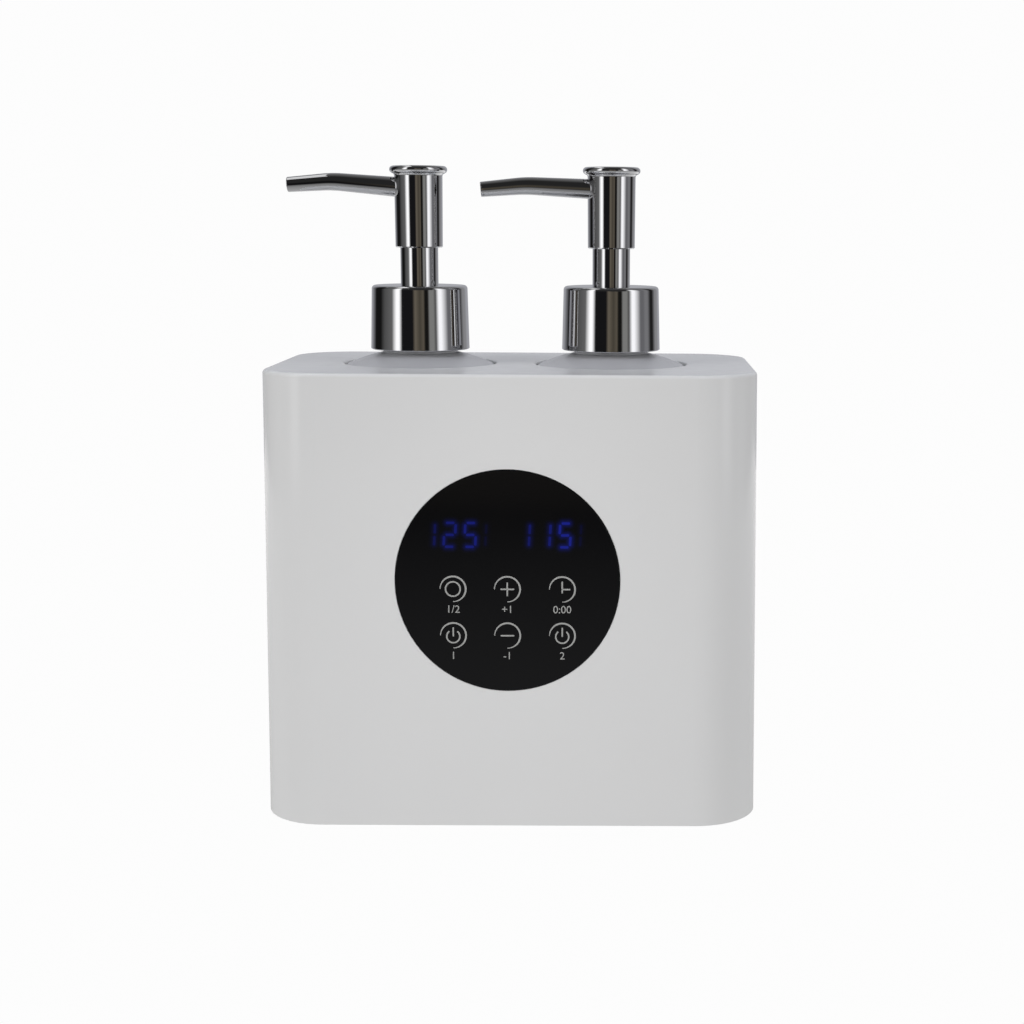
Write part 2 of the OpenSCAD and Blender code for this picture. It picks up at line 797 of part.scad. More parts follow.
// Equal screws that hold the control board to the front wall and the power board to its posts
module board_screws() {
    head_d = board_screw * 1.8;
    head_h = board_screw * 0.6;
    color(steel) {
        on_front() at_corners(board_hole_x, board_hole_y)
            translate([0, 0, -board_back]) pan_screw(board_screw, board_screw_len, head_d, head_h);
        translate([0, (power_front + power_back) / 2, power_top])
            at_corners(power_w / 2 - post_inset, power_d / 2 - post_inset)
                mirror([0, 0, 1]) pan_screw(board_screw, board_screw_len, head_d, head_h);
    }
}

// Display block with three shallow windows in its face
module display(side) {
    digits = 3;
    digit_w = display_w / digits;
    frame = 0.8;
    window_depth = 0.4;
    color(part_black) on_front() translate([side * display_out, display_up, -board_front]) difference() {
        translate([-display_w / 2, -display_h / 2, 0]) cube([display_w, display_h, display_t]);
        for (digit = [0 : digits - 1])
            translate([
                digit * digit_w - display_w / 2 + frame,
                frame - display_h / 2,
                display_t - window_depth
            ]) cube([digit_w - 2 * frame, display_h - 2 * frame, cut]);
    }
}

// Sprung posts that carry the touch of each key from the lens to the board
module touch_springs() {
    flange = 0.8;
    reach = board_front - lens_back;
    color(steel) on_front() at_keys() translate([0, 0, -board_front]) {
        cylinder(h = reach, r = key_pad_d / 4);
        cylinder(h = flange, r = key_pad_d / 3);
        translate([0, 0, reach - flange]) cylinder(h = flange, r = key_pad_d / 2);
    }
}

// Controller, sounder and cable socket on the back of the control board
module board_components() {
    chip = 9;
    chip_t = 1.4;
    sounder_r = 6;
    sounder_h = 5;
    color(part_black) on_front() translate([0, 0, -board_back]) mirror([0, 0, 1]) {
        translate([-chip / 2, -chip / 2, 0]) cube([chip, chip, chip_t]);
        translate([0, board_h * 0.3, 0]) rounded_disc(sounder_r, sounder_h, part_edge);
        translate([-connector_w / 2, connector_up - connector_h / 2, 0])
            cube([connector_w, connector_h, connector_t]);
    }
}

module power_board() {
    color(board_green) translate([0, (power_front + power_back) / 2, power_z]) linear_extrude(board_t)
        difference() {
            rounded_outline(power_w, power_d, board_corner);
            at_corners(power_w / 2 - post_inset, power_d / 2 - post_inset)
                circle(board_screw / 2 + easy / 2);
        }
}

// Terminal blocks, capacitors, switching transistors and cable socket on the power board
module power_components() {
    capacitor_r = 3.5;
    capacitor_h = 7.5;
    transistor = [6, 2.4, 7];
    column_x = 11;
    capacitor_y = power_front + 2 * capacitor_r;
    transistor_y = power_back - 9;
    color(part_black) translate([0, 0, power_top]) {
        for (side = [-1, 1]) {
            translate([side * (terminal_x + terminal_w / 2) - terminal_w / 2, lead_y - terminal_d / 2, 0])
                cube([terminal_w, terminal_d, terminal_h]);
            translate([side * column_x, capacitor_y, 0])
                rounded_disc(capacitor_r, capacitor_h, part_edge);
            translate([side * column_x - transistor[0] / 2, transistor_y, 0]) cube(transistor);
        }
        translate([-connector_w / 2, power_front + cut, 0]) cube([connector_w, connector_h, connector_t]);
    }
}

// Round power socket with its centre pin, its nose in the hole of the rear wall
module dc_inlet() {
    bore_len = 9;
    color(part_black) {
        difference() {
            union() {
                translate([-inlet_w / 2, inlet_back, power_top]) cube([inlet_w, inlet_len, inlet_h]);
                translate([0, power_back - cut, inlet_z]) rotate([-90, 0, 0])
                    cylinder(h = inlet_face - power_back + cut, r = inlet_nose_d / 2);
            }
            translate([0, inlet_face - bore_len, inlet_z]) rotate([-90, 0, 0])
                cylinder(h = bore_len + cut, r = inlet_bore / 2);
        }
        translate([0, inlet_face - bore_len - cut, inlet_z]) rotate([-90, 0, 0])
            cylinder(h = bore_len, r = inlet_pin / 2);
    }
}

// Ribbon cable from the power board forward under the wells and up to the control board
module board_cable() {
    bend = 4;
    socket_y = front_y(panel_z) + board_back + connector_t / 2 + connector_up * sin(draft);
    up_y = socket_y - ribbon_t / 2;
    low_z = power_top + connector_t / 2;
    turn_y = up_y + ribbon_t + bend;
    end_z = panel_z + connector_up - connector_h / 2 - easy;
    turn_z = low_z + ribbon_t + bend;
    color(felt_grey) rotate([90, 0, 90]) linear_extrude(ribbon_w, center = true) {
        translate([turn_y, low_z]) square([power_front + cut - turn_y, ribbon_t]);
        translate([up_y, turn_z]) square([ribbon_t, end_z - turn_z]);
        translate([turn_y, turn_z]) intersection() {
            difference() {
                circle(bend + ribbon_t);
                circle(bend);
            }
            translate([-bend - ribbon_t, -bend - ribbon_t]) square(bend + ribbon_t);
        }
    }
}

// Half section of a bottle's body, set in by a distance from its outer face
module bottle_profile(inset) {
    r = bottle_r - inset;
    dome = dome_r - inset;
    edge_x = r - shoulder_edge;
    edge_z = dome_z + sqrt(pow(dome - shoulder_edge, 2) - pow(edge_x, 2));
    reach = dome / (dome - shoulder_edge);
    low_edge = bottle_edge - inset;
    low_z = floor_z + inset;
    touch = [edge_x * reach, dome_z + (edge_z - dome_z) * reach];
    polygon([
        [0, low_z], [r - low_edge, low_z], [r - low_edge, low_z + low_edge], [r, low_z + low_edge],
        [r, edge_z], [edge_x, edge_z], touch, [0, touch[1]]
    ]);
    translate([r - low_edge, low_z + low_edge]) circle(low_edge);
    translate([edge_x, edge_z]) circle(shoulder_edge);
    intersection() {
        translate([0, dome_z]) circle(dome);
        translate([0, dome_z]) square([touch[0], dome]);
    }
}

module bottle(side) {
    color(bottle_white) at_pump(side) rotate_extrude() difference() {
        union() {
            difference() {
                union() {
                    bottle_profile(0);
                    translate([0, dome_z]) square([neck_d / 2, neck_top - dome_z]);
                }
                bottle_profile(bottle_wall);
                translate([0, dome_z]) square([neck_bore / 2, neck_top - dome_z + cut]);
            }
            translate([0, floor_z]) square([base_dent_r + bottle_wall, bottle_inner_z - floor_z]);
        }
        translate([0, floor_z - cut]) square([base_dent_r, base_dent + cut]);
    }
}

// Half section of the collar before it is bored out, round at its lower and upper edges
module collar_profile() {
    lean = atan((collar_d - collar_top_d) / 2 / collar_h);
    edge_x = collar_d / 2 - collar_low_edge;
    difference() {
        leaning_profile(collar_d / 2, collar_h, lean, collar_fillet);
        difference() {
            translate([edge_x, -cut]) square(collar_low_edge + cut);
            translate([edge_x, collar_low_edge]) circle(collar_low_edge);
        }
    }
}

module collar_shell(side) {
    color(chrome) at_pump(side) translate([0, 0, collar_z]) difference() {
        rotate_extrude() collar_profile();
        translate([0, 0, -cut]) cylinder(h = collar_h - collar_top_t + cut, r = collar_bore / 2);
        cylinder(h = collar_h + cut, r = guide_r + snug);
    }
}

module closure(side) {
    low = dome_height(closure_bore / 2) + shoulder_gap;
    outer = collar_bore / 2 - snug;
    hole = cylinder_r + easy;
    color(natural_plastic) at_pump(side) rotate_extrude() polygon([
        [closure_bore / 2, low], [outer, low], [outer, guide_z],
        [hole, guide_z], [hole, closure_under], [closure_bore / 2, closure_under]
    ]);
}

module neck_gasket(side) {
    color(rubber_black) at_pump(side) ring(cylinder_outer + easy, cylinder_flange_r, neck_top, gasket_top);
}

module guide_tube(side) {
    color(chrome) at_pump(side) {
        ring(stem_d / 2 + running, guide_flange_r, guide_z, guide_z + guide_flange_t);
        ring(stem_d / 2 + running, guide_r, guide_z, guide_z + bush_h);
        ring(guide_inner, guide_r, guide_z, guide_top);
    }
}

module pump_cylinder(side) {
    step_z = chamber_floor - lip_t;
    step_h = 2;
    color(natural_plastic) at_pump(side) difference() {
        rotate_extrude() polygon([
            [0, socket_z], [socket_outer, socket_z], [socket_outer, step_z - step_h],
            [cylinder_outer, step_z], [cylinder_outer, gasket_top],
            [cylinder_flange_r, gasket_top], [cylinder_flange_r, closure_under], [0, closure_under]
        ]);
        translate([0, 0, chamber_floor]) cylinder(h = closure_under - chamber_floor + cut, r = cylinder_r);
        translate([0, 0, valve_floor]) cylinder(h = valve_h, r = ball_r + easy);
        translate([0, 0, socket_z]) cylinder(h = chamber_floor - socket_z + cut, r = seat_r);
        translate([0, 0, socket_z - cut]) cylinder(h = socket_len + cut, r = dip_d / 2 + snug);
    }
}

module dip_tube(side) {
    color(natural_plastic) at_pump(side)
        ring(dip_bore / 2, dip_d / 2, bottle_inner_z + dip_gap, socket_top);
}

// Return spring as one unbroken tube that climbs round the pump's axis
module return_spring(side) {
    color(steel) at_pump(side) swept_tube(spring_path, spring_wire / 2, [0, 0, 1], 6);
}

module check_ball(side) {
    color(steel) at_pump(side) translate([0, 0, valve_floor + ball_rest]) sphere(ball_r);
}

// Piston with a sealing lip at each end and a waist between them
module piston(side) {
    lip_h = 1.6;
    lip_r = cylinder_r - snug;
    waist_r = cylinder_r * 0.85;
    bore = stem_d / 2 + snug;
    color(rubber_black) at_pump(side) rotate_extrude() polygon([
        [bore, piston_z], [lip_r, piston_z], [lip_r, piston_z + lip_h],
        [waist_r, piston_z + 2 * lip_h], [waist_r, piston_top - 2 * lip_h],
        [lip_r, piston_top - lip_h], [lip_r, piston_top], [bore, piston_top]
    ]);
}

module stem(side) {
    foot_r = spring_d / 2 + easy;
    color(natural_plastic) at_pump(side) {
        ring(stem_bore / 2, foot_r, stem_z, stem_z + foot_plate_t);
        ring(stem_bore / 2, stem_d / 2, stem_z, stem_top);
    }
}

// Points along a nozzle's centre line, from inside the head to the tip
function nozzle_root() = [-barrel_d / 4, 0, nozzle_z];
function nozzle_knee() = [-nozzle_bend, 0, nozzle_z + nozzle_rise];
function nozzle_tip() = [-nozzle_reach, 0, nozzle_z + nozzle_rise - nozzle_dip];

module at_nozzle(side) {
    at_pump(side) rotate(side < 0 ? left_turn : right_turn) children();
}

// Half section of the head: a slim barrel under a round-edged flange
module head_profile() {
    rim_r = flange_t / 2;
    flange_r = flange_d / 2;
    under = head_h - flange_t;
    low_bevel = 0.4;
    difference() {
        union() {
            polygon([
                [0, 0], [barrel_low_d / 2 - low_bevel, 0], [barrel_low_d / 2, low_bevel],
                [barrel_d / 2, under], [barrel_d / 2, head_h], [0, head_h]
            ]);
            translate([0, under]) square([flange_r - rim_r, flange_t]);
            translate([flange_r - rim_r, under + rim_r]) circle(rim_r);
            translate([barrel_d / 2, under - flange_fillet]) square(flange_fillet);
        }
        translate([barrel_d / 2 + flange_fillet, under - flange_fillet]) circle(flange_fillet);
        square([guide_r + easy, head_bore_top - barrel_z]);
        square([stem_d / 2 + snug, stem_top - barrel_z + seat_gap]);
        square([stem_bore / 2, nozzle_z - barrel_z]);
    }
}

module pump_head(side) {
    color(chrome) difference() {
        at_pump(side) translate([0, 0, barrel_z]) rotate_extrude() head_profile();
        at_nozzle(side) taper_between(nozzle_root(), nozzle_knee(), spigot_r + snug, spigot_r + snug);
        at_nozzle(side) taper_between([0, 0, nozzle_z], nozzle_root(), stem_bore / 2, stem_bore / 2);
    }
}

module nozzle(side) {
    bore_r = nozzle_bore / 2;
    overrun = 0.2;
    past_tip = nozzle_tip() + (nozzle_tip() - nozzle_knee()) * overrun;
    before_root = nozzle_root() + (nozzle_root() - nozzle_knee()) * overrun;
    color(chrome) at_nozzle(side) difference() {
        union() {
            difference() {
                taper_between(nozzle_root(), nozzle_knee(), nozzle_root_d / 2, nozzle_bend_d / 2);
                translate([0, 0, barrel_z]) cylinder(h = head_h, r = barrel_d / 2 + snug);
            }
            taper_between(nozzle_root(), nozzle_knee(), spigot_r, spigot_r * 0.8);
            translate(nozzle_knee()) sphere(nozzle_bend_d / 2 + snug);
            taper_between(nozzle_knee(), nozzle_tip(), nozzle_bend_d / 2, nozzle_tip_d / 2);
        }
        taper_between(before_root, nozzle_knee(), bore_r, bore_r);
        translate(nozzle_knee()) sphere(bore_r + snug);
        taper_between(nozzle_knee(), past_tip, bore_r, bore_r);
    }
}

housing_shell();
base_plate();
rubber_feet();
base_screws();
well_carrier();
heating_well(-1);  // left_heating_well
heating_well(1);  // right_heating_well
heater_band(-1);  // left_heater_band
heater_band(1);  // right_heater_band
insulation(-1);  // left_insulation
insulation(1);  // right_insulation
thermostat(-1);  // left_thermostat
thermostat(1);  // right_thermostat
thermistor(-1);  // left_thermistor
thermistor(1);  // right_thermistor
leads(-1);  // left_leads
leads(1);  // right_leads
control_panel();
panel_adhesive();
control_board();
board_screws();
display(-1);  // left_display
display(1);  // right_display
touch_springs();
board_components();
power_board();
power_components();
dc_inlet();
board_cable();
bottle(-1);  // left_bottle
collar_shell(-1);  // left_collar_shell
closure(-1);  // left_closure
neck_gasket(-1);  // left_neck_gasket
guide_tube(-1);  // left_guide_tube
pump_cylinder(-1);  // left_pump_cylinder
dip_tube(-1);  // left_dip_tube
return_spring(-1);  // left_return_spring
check_ball(-1);  // left_check_ball
piston(-1);  // left_piston
stem(-1);  // left_stem
pump_head(-1);  // left_pump_head
nozzle(-1);  // left_nozzle
bottle(1);  // right_bottle
collar_shell(1);  // right_collar_shell
closure(1);  // right_closure
neck_gasket(1);  // right_neck_gasket
guide_tube(1);  // right_guide_tube
pump_cylinder(1);  // right_pump_cylinder
dip_tube(1);  // right_dip_tube
return_spring(1);  // right_return_spring
check_ball(1);  // right_check_ball
piston(1);  // right_piston
stem(1);  // right_stem
pump_head(1);  // right_pump_head
nozzle(1);  // right_nozzle
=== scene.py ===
# Looks of a twin lotion warmer: materials, polished pumps, panel print and a small studio.
import json
import math

import bmesh
import bpy
from mathutils import Matrix, Vector


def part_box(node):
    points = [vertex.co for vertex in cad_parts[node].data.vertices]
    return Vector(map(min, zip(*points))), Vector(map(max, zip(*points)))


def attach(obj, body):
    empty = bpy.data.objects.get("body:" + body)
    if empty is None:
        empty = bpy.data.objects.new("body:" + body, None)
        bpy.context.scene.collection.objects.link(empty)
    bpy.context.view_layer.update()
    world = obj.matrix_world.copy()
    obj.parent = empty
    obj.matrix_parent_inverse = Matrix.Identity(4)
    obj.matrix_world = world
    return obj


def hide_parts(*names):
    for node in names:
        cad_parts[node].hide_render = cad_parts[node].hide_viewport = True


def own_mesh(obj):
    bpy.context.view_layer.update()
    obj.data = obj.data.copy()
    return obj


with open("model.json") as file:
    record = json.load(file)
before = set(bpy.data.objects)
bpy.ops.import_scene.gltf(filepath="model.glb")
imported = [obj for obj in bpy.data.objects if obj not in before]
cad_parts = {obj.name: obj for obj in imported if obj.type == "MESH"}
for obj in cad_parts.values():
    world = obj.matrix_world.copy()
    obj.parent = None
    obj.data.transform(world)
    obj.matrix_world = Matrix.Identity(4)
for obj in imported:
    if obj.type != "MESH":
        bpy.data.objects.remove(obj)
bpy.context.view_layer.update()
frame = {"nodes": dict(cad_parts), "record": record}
nodes = frame["nodes"]

MM = 0.001
SIDES = {"left": -1, "right": 1}
PUMP_X = 32.35

# Camera of the photograph: place in mm, angles in degrees, focal length and middle in pixels
PICTURE = 1024
CAMERA_PLACE = (37.265, -600.783, 198.064)
CAMERA_PITCH, CAMERA_YAW, CAMERA_ROLL = 9.441, 0.514, 0.410
CAMERA_FOCAL = 1762.07
CAMERA_MIDDLE = 640
SENSOR = 36.0
CLIP_START = 0.01


def make_camera():
    pitch, yaw, roll = (math.radians(a) for a in (CAMERA_PITCH, CAMERA_YAW, CAMERA_ROLL))
    ahead = Vector((math.sin(yaw) * math.cos(pitch), math.cos(yaw) * math.cos(pitch), -math.sin(pitch)))
    flat_right = Vector((math.cos(yaw), -math.sin(yaw), 0))
    flat_up = flat_right.cross(ahead)
    right = math.cos(roll) * flat_right + math.sin(roll) * flat_up
    up = math.cos(roll) * flat_up - math.sin(roll) * flat_right
    data = bpy.data.cameras.new("camera")
    data.sensor_width = SENSOR
    data.lens = CAMERA_FOCAL / PICTURE * SENSOR
    data.shift_x = (PICTURE / 2 - CAMERA_MIDDLE) / PICTURE
    data.clip_start = CLIP_START
    camera = bpy.data.objects.new("camera", data)
    turn = Matrix((right, up, -ahead)).transposed().to_4x4()
    camera.matrix_world = Matrix.Translation(Vector(CAMERA_PLACE) * MM) @ turn
    bpy.context.collection.objects.link(camera)
    bpy.context.scene.camera = camera


# Studio: upright cards round the object, each from one bearing to another (degrees, 0 in front,
# positive to the right) with the light it sends out; the light blends from card to card
STUDIO_CARDS = (
    (-180, -150, (0.405, 0.41, 0.44)),
    (-121, -99, (0.010, 0.010, 0.010)),
    (-85, -85, (0.10, 0.10, 0.10)),
    (-63, -63, (0.16, 0.16, 0.16)),
    (-51, -44.5, (1.42, 1.42, 1.42)),
    (-37, -11, (0.010, 0.010, 0.011)),
    (-5, -5, (0.165, 0.142, 0.109)),
    (0, 0, (0.120, 0.104, 0.079)),
    (6, 6, (0.078, 0.068, 0.052)),
    (14, 14, (0.125, 0.108, 0.082)),
    (18, 25, (0.010, 0.010, 0.009)),
    (29, 38, (0.26, 0.26, 0.25)),
    (44, 44, (0.08, 0.08, 0.08)),
    (52, 57.5, (1.32, 1.32, 1.34)),
    (75, 84, (0.17, 0.17, 0.18)),
    (90, 98, (0.23, 0.23, 0.24)),
    (108, 117, (0.018, 0.018, 0.018)),
    (131, 140, (0.30, 0.30, 0.31)),
    (152, 180, (0.405, 0.41, 0.44)),
)
CARD_PEAK = 1.5
# Sine of the height where the cards end: low in front, high at the sides and behind
FRONT_TOP = 0.08
SIDE_TOP = 0.60
TOP_FADE = 0.22
FRONT_BEARING = (36, 46)
# Ceiling: its light over a span of the direction's y, dim in front and lighter towards the back
CEILING_SPAN = (-0.35, 0.5)
CEILING_LIGHT = (0.03, 0.24)
# Backdrop and table as the camera sees them
WHITE = 0.98


def make_world():
    world = bpy.data.worlds.new("studio")
    bpy.context.scene.world = world
    world.use_nodes = True
    tree = world.node_tree
    tree.nodes.clear()

    def add(kind, **settings):
        node = tree.nodes.new(kind)
        for key, value in settings.items():
            setattr(node, key, value)
        return node

    def spread(value, low, high, to_low=0.0, to_high=1.0):
        """Map a value from one span to another."""
        node = add("ShaderNodeMapRange")
        keys = ("From Min", "From Max", "To Min", "To Max")
        for key, number in zip(keys, (low, high, to_low, to_high)):
            node.inputs[key].default_value = number
        tree.links.new(value, node.inputs["Value"])
        return node.outputs[0]

    def calculate(operation, a, b):
        node = add("ShaderNodeMath", operation=operation)
        for socket, value in zip(node.inputs, (a, b)):
            if isinstance(value, (int, float)):
                socket.default_value = value
            else:
                tree.links.new(value, socket)
        return node.outputs[0]

    place = add("ShaderNodeTexCoord")
    parts = add("ShaderNodeSeparateXYZ")
    tree.links.new(place.outputs["Generated"], parts.inputs[0])
    front = calculate("MULTIPLY", parts.outputs["Y"], -1)
    bearing = calculate("ARCTAN2", parts.outputs["X"], front)
    ramp = add("ShaderNodeValToRGB")
    stops = []
    for low, high, light in STUDIO_CARDS:
        colour = [c / CARD_PEAK for c in light] + [1.0]
        stops += [(edge, colour) for edge in sorted({low, high})]
    elements = ramp.color_ramp.elements
    elements.remove(elements[1])
    elements[0].position = (stops[0][0] + 180) / 360
    elements[0].color = stops[0][1]
    for angle, colour in stops[1:]:
        elements.new((angle + 180) / 360).color = colour
    tree.links.new(spread(bearing, -math.pi, math.pi), ramp.inputs["Fac"])
    turned = calculate("ABSOLUTE", bearing, 0.0)
    low, high = (math.radians(a) for a in FRONT_BEARING)
    top = spread(turned, low, high, FRONT_TOP, SIDE_TOP)
    above = spread(calculate("SUBTRACT", parts.outputs["Z"], top), 0.0, TOP_FADE)
    cards = add("ShaderNodeBackground")
    tree.links.new(ramp.outputs["Color"], cards.inputs["Color"])
    cards.inputs["Strength"].default_value = CARD_PEAK
    ceiling = add("ShaderNodeBackground")
    ceiling.inputs["Color"].default_value = (1, 1, 1, 1)
    overhead = spread(parts.outputs["Y"], *CEILING_SPAN, *CEILING_LIGHT)
    tree.links.new(overhead, ceiling.inputs["Strength"])
    room = add("ShaderNodeMixShader")
    tree.links.new(above, room.inputs[0])
    tree.links.new(cards.outputs[0], room.inputs[1])
    tree.links.new(ceiling.outputs[0], room.inputs[2])
    plain = add("ShaderNodeBackground")
    plain.inputs["Color"].default_value = (WHITE, WHITE, WHITE, 1)
    rays = add("ShaderNodeLightPath")
    choose = add("ShaderNodeMixShader")
    tree.links.new(rays.outputs["Is Camera Ray"], choose.inputs[0])
    tree.links.new(room.outputs[0], choose.inputs[1])
    tree.links.new(plain.outputs[0], choose.inputs[2])
    out = add("ShaderNodeOutputWorld")
    tree.links.new(choose.outputs[0], out.inputs["Surface"])


# Table: shows white to the camera, and sends up more light behind the object than in front
TABLE_HALF = 0.8
TABLE_SUNK = 0.0003
TABLE_SPAN = (-0.75, 0.5)
TABLE_LIGHT = 0.9


def make_table():
    signs = [(-1, -1), (1, -1), (1, 1), (-1, 1)]
    corners = [(x * TABLE_HALF, y * TABLE_HALF, -TABLE_SUNK) for x, y in signs]
    mesh = bpy.data.meshes.new("table")
    mesh.from_pydata(corners, [], [(0, 1, 2, 3)])
    table = bpy.data.objects.new("table", mesh)
    bpy.context.collection.objects.link(table)
    paint = bpy.data.materials.new("table_white")
    paint.use_nodes = True
    tree = paint.node_tree
    tree.nodes.clear()
    place = tree.nodes.new("ShaderNodeTexCoord")
    parts = tree.nodes.new("ShaderNodeSeparateXYZ")
    tree.links.new(place.outputs["Object"], parts.inputs[0])
    away = tree.nodes.new("ShaderNodeMapRange")
    away.inputs["From Min"].default_value = TABLE_SPAN[0]
    away.inputs["From Max"].default_value = TABLE_SPAN[1]
    away.inputs["To Max"].default_value = TABLE_LIGHT
    tree.links.new(parts.outputs["Y"], away.inputs["Value"])
    bounce = tree.nodes.new("ShaderNodeEmission")
    tree.links.new(away.outputs[0], bounce.inputs["Strength"])
    plain = tree.nodes.new("ShaderNodeEmission")
    plain.inputs["Strength"].default_value = WHITE
    rays = tree.nodes.new("ShaderNodeLightPath")
    choose = tree.nodes.new("ShaderNodeMixShader")
    tree.links.new(rays.outputs["Is Camera Ray"], choose.inputs[0])
    tree.links.new(bounce.outputs[0], choose.inputs[1])
    tree.links.new(plain.outputs[0], choose.inputs[2])
    out = tree.nodes.new("ShaderNodeOutputMaterial")
    tree.links.new(choose.outputs[0], out.inputs["Surface"])
    mesh.materials.append(paint)


# Lamps: place and aim, width and depth in m, power in W, colour, and whether polished faces
# mirror the lamp
DAYLIGHT = (1.0, 1.0, 1.0)
COOL = (0.84, 0.89, 1.0)
MIDDLE = (0, 0, 0.10)
LAMPS = {
    "top_lamp": ((-0.46, 0.15, 1.25), (-0.46, 0.15, 0), (0.29, 0.90), 0.80, DAYLIGHT, True),
    "key_lamp": ((-0.98, -0.58, 0.50), MIDDLE, (0.50, 0.70), 6.0, DAYLIGHT, False),
    "fill_lamp": ((1.00, -0.48, 0.50), MIDDLE, (0.50, 0.70), 4.0, DAYLIGHT, False),
    "front_lamp": ((0.00, -0.22, 0.10), MIDDLE, (0.10, 0.10), 0.07, DAYLIGHT, False),
    "sky_lamp": ((0.05, -0.05, 1.30), MIDDLE, (0.80, 0.80), 4.2, COOL, False),
    "rear_lamp": ((0.30, 1.20, 0.60), MIDDLE, (0.80, 0.60), 7.0, DAYLIGHT, False),
}


def make_lamps():
    for name, (place, aim, size, power, colour, mirrored) in LAMPS.items():
        data = bpy.data.lights.new(name, "AREA")
        data.shape = "RECTANGLE"
        data.size, data.size_y = size
        data.energy = power
        data.color = colour
        lamp = bpy.data.objects.new(name, data)
        turn = (Vector(aim) - Vector(place)).to_track_quat("-Z", "Y").to_matrix().to_4x4()
        lamp.matrix_world = Matrix.Translation(place) @ turn
        lamp.visible_camera = False
        lamp.visible_glossy = mirrored
        bpy.context.collection.objects.link(lamp)


# Materials
def surface(name, colour, rough, metallic=0.0, mottle=None, grain=None, haze=None, **sockets):
    """Principled material. mottle is (size in mm, share), grain is (size in mm, depth in mm),
    haze is (size in mm, least and most roughness); other values go to the shader's own sockets."""
    paint = bpy.data.materials.new(name)
    paint.use_nodes = True
    tree = paint.node_tree
    shader = tree.nodes["Principled BSDF"]
    shader.inputs["Base Color"].default_value = (*colour, 1)
    shader.inputs["Roughness"].default_value = rough
    shader.inputs["Metallic"].default_value = metallic
    for key, value in sockets.items():
        shader.inputs[key.replace("_", " ")].default_value = value
    place = tree.nodes.new("ShaderNodeTexCoord")

    def noise(size, detail):
        texture = tree.nodes.new("ShaderNodeTexNoise")
        texture.inputs["Scale"].default_value = 1 / (size * MM)
        texture.inputs["Detail"].default_value = detail
        tree.links.new(place.outputs["Object"], texture.inputs["Vector"])
        return texture.outputs["Fac"]

    if mottle:
        size, share = mottle
        ramp = tree.nodes.new("ShaderNodeValToRGB")
        for element, factor in zip(ramp.color_ramp.elements, (1 - share, 1 + share)):
            element.color = [min(1, c * factor) for c in colour] + [1]
        tree.links.new(noise(size, detail=3), ramp.inputs["Fac"])
        tree.links.new(ramp.outputs["Color"], shader.inputs["Base Color"])
    if haze:
        size, least, most = haze
        span = tree.nodes.new("ShaderNodeMapRange")
        span.inputs["To Min"].default_value = least
        span.inputs["To Max"].default_value = most
        tree.links.new(noise(size, detail=4), span.inputs["Value"])
        tree.links.new(span.outputs[0], shader.inputs["Roughness"])
    if grain:
        size, depth = grain
        bump = tree.nodes.new("ShaderNodeBump")
        bump.inputs["Strength"].default_value = 1
        bump.inputs["Distance"].default_value = depth * MM
        tree.links.new(noise(size, detail=2), bump.inputs["Height"])
        tree.links.new(bump.outputs["Normal"], shader.inputs["Normal"])
    return paint


